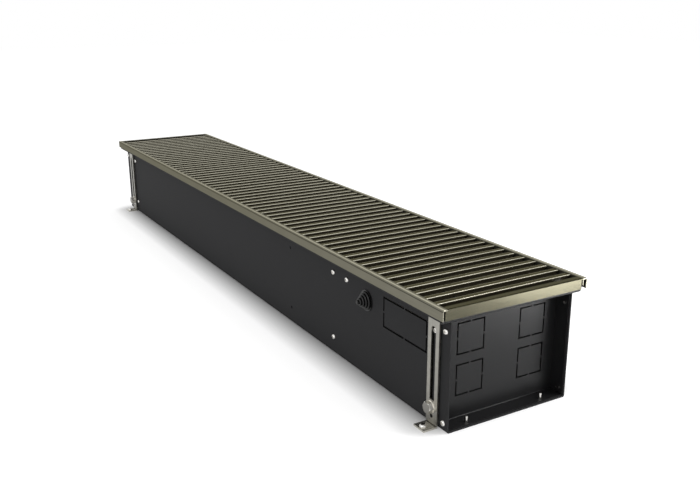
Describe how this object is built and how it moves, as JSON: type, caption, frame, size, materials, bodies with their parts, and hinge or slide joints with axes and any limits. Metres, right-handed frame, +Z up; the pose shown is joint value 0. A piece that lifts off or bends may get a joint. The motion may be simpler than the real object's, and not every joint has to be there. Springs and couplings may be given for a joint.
{
  "type": "trench convector heater",
  "caption": "Floor trench convector: folded trough with framed bar grille, finned exchanger, cross-flow fan, valves and adjustable side feet",
  "frame": {"origin": "on the floor, at the bottom centre of the bounding box, which is the middle of the trough's floor", "axes": "+X along the trough to the connection end, -Y to the side wall with the cable gland, +Z up"},
  "size_m": [1.25, 0.223, 0.155],
  "materials": {
    "powder_black": "satin powder coat",
    "bronze_anodised": "fine satin, bronze anodised",
    "galvanised": "galvanised, faintly mottled",
    "bright_zinc": "bright zinc plate",
    "black_rubber": "matt",
    "spacer_plastic": "matt black",
    "fin_aluminium": "mill finish",
    "copper_tube": "drawn copper",
    "nickel_brass": "nickel plated, satin",
    "knob_white": "satin white",
    "motor_grey": "ribbed casting, satin",
    "roller_grey": "matt dark grey",
    "box_grey": "matt grey"
  },
  "bodies": {
    "trough": {"trough_shell": "powder_black", "end_plate_right": "powder_black", "end_plate_left": "powder_black", "frame_side_front": "bronze_anodised", "frame_side_rear": "bronze_anodised", "frame_end_right": "bronze_anodised", "frame_end_left": "bronze_anodised", "foot_rail_front_right": "galvanised", "foot_rail_front_left": "galvanised", "foot_rail_rear_right": "galvanised", "foot_rail_rear_left": "galvanised", "partition_right": "galvanised", "partition_left": "galvanised", "fan_housing_right": "galvanised", "fan_housing_left": "galvanised", "motor_cradle": "galvanised", "foot_clamp_front_right": "bright_zinc", "foot_clamp_front_left": "bright_zinc", "foot_clamp_rear_right": "bright_zinc", "foot_clamp_rear_left": "bright_zinc", "rail_screws": "bright_zinc", "end_plate_screws": "bright_zinc", "partition_screws": "bright_zinc", "cable_gland": "black_rubber", "grille_seat_strips": "black_rubber", "bearing_bushes": "spacer_plastic", "exchanger_fins": "fin_aluminium", "exchanger_tubes": "copper_tube", "supply_valve": "nickel_brass", "return_valve": "nickel_brass", "return_valve_cap": "nickel_brass", "union_nuts": "nickel_brass", "air_vent": "nickel_brass", "fan_motor": "motor_grey", "terminal_box": "box_grey", "terminal_box_lid": "box_grey"},
    "fan_rotor": {"fan_shaft": "bright_zinc", "fan_roller_right": "roller_grey", "fan_roller_left": "roller_grey"},
    "supply_valve_knob": {"supply_valve_knob": "knob_white"},
    "bleed_screw": {"bleed_screw": "nickel_brass"},
    "grille": {"grille_bars": "bronze_anodised", "grille_link_springs": "bright_zinc", "grille_spacers": "spacer_plastic"},
    "foot_front_right": {"foot_front_right": "galvanised", "anchor_screw_front_right": "bright_zinc"},
    "foot_front_left": {"foot_front_left": "galvanised", "anchor_screw_front_left": "bright_zinc"},
    "foot_rear_right": {"foot_rear_right": "galvanised", "anchor_screw_rear_right": "bright_zinc"},
    "foot_rear_left": {"foot_rear_left": "galvanised", "anchor_screw_rear_left": "bright_zinc"}
  },
  "joints": [
    {"name": "fan_spin", "type": "hinge", "parent": "trough", "child": "fan_rotor", "pos_m": [-0.104, -0.046, 0.046], "axis": [1, 0, 0], "continuous": true},
    {"name": "supply_knob_turn", "type": "hinge", "parent": "trough", "child": "supply_valve_knob", "pos_m": [0.4095, 0.0275, 0.0705], "axis": [0, 0, 1], "range_deg": [0, 360]},
    {"name": "bleed_screw_turn", "type": "hinge", "parent": "trough", "child": "bleed_screw", "pos_m": [0.388, 0.044, 0.09475], "axis": [1, 0, 0], "range_deg": [0, 180]},
    {"name": "grille_lift", "type": "slide", "parent": "trough", "child": "grille", "axis": [0, 0, 1], "range_m": [0, 0.05]},
    {"name": "foot_front_right_slide", "type": "slide", "parent": "trough", "child": "foot_front_right", "axis": [0, 0, 1], "range_m": [-0.075, 0]},
    {"name": "foot_front_left_slide", "type": "slide", "parent": "trough", "child": "foot_front_left", "axis": [0, 0, 1], "range_m": [-0.075, 0]},
    {"name": "foot_rear_right_slide", "type": "slide", "parent": "trough", "child": "foot_rear_right", "axis": [0, 0, 1], "range_m": [-0.075, 0]},
    {"name": "foot_rear_left_slide", "type": "slide", "parent": "trough", "child": "foot_rear_left", "axis": [0, 0, 1], "range_m": [-0.075, 0]}
  ]
}
